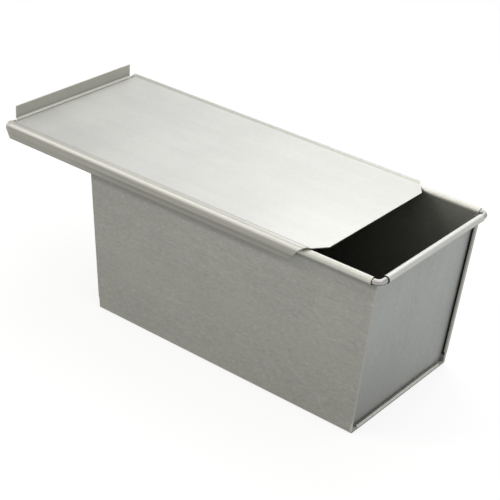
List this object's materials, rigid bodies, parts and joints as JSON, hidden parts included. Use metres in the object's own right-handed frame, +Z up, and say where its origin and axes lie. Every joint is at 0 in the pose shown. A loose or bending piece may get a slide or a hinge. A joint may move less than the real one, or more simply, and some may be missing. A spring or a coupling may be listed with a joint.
{
  "type": "loaf pan",
  "caption": "Tall straight-sided loaf pan of bright sheet steel with a wired rolled rim, folded end seams and a flat cover that slides along the rim.",
  "frame": {"origin": "middle of the flat underside of the pan, without the cover", "axes": "+Z up, +X along the pan's length towards the cover's flat tab, -X the way the cover is pulled off"},
  "size_m": [0.2677, 0.1158, 0.1118],
  "materials": {
    "pan_steel": "satin tinned sheet steel",
    "wire_steel": "bright drawn steel wire",
    "cover_steel": "satin tinned sheet steel, lightly polished"
  },
  "bodies": {
    "pan": {"body_sheet": "pan_steel", "end_panel_left": "pan_steel", "end_panel_right": "pan_steel", "rim_wire": "wire_steel"},
    "cover": {"cover": "cover_steel"}
  },
  "joints": [
    {"name": "cover_slide", "type": "slide", "parent": "pan", "child": "cover", "axis": [1, 0, 0], "range_m": [-0.172, 0.0583]}
  ]
}
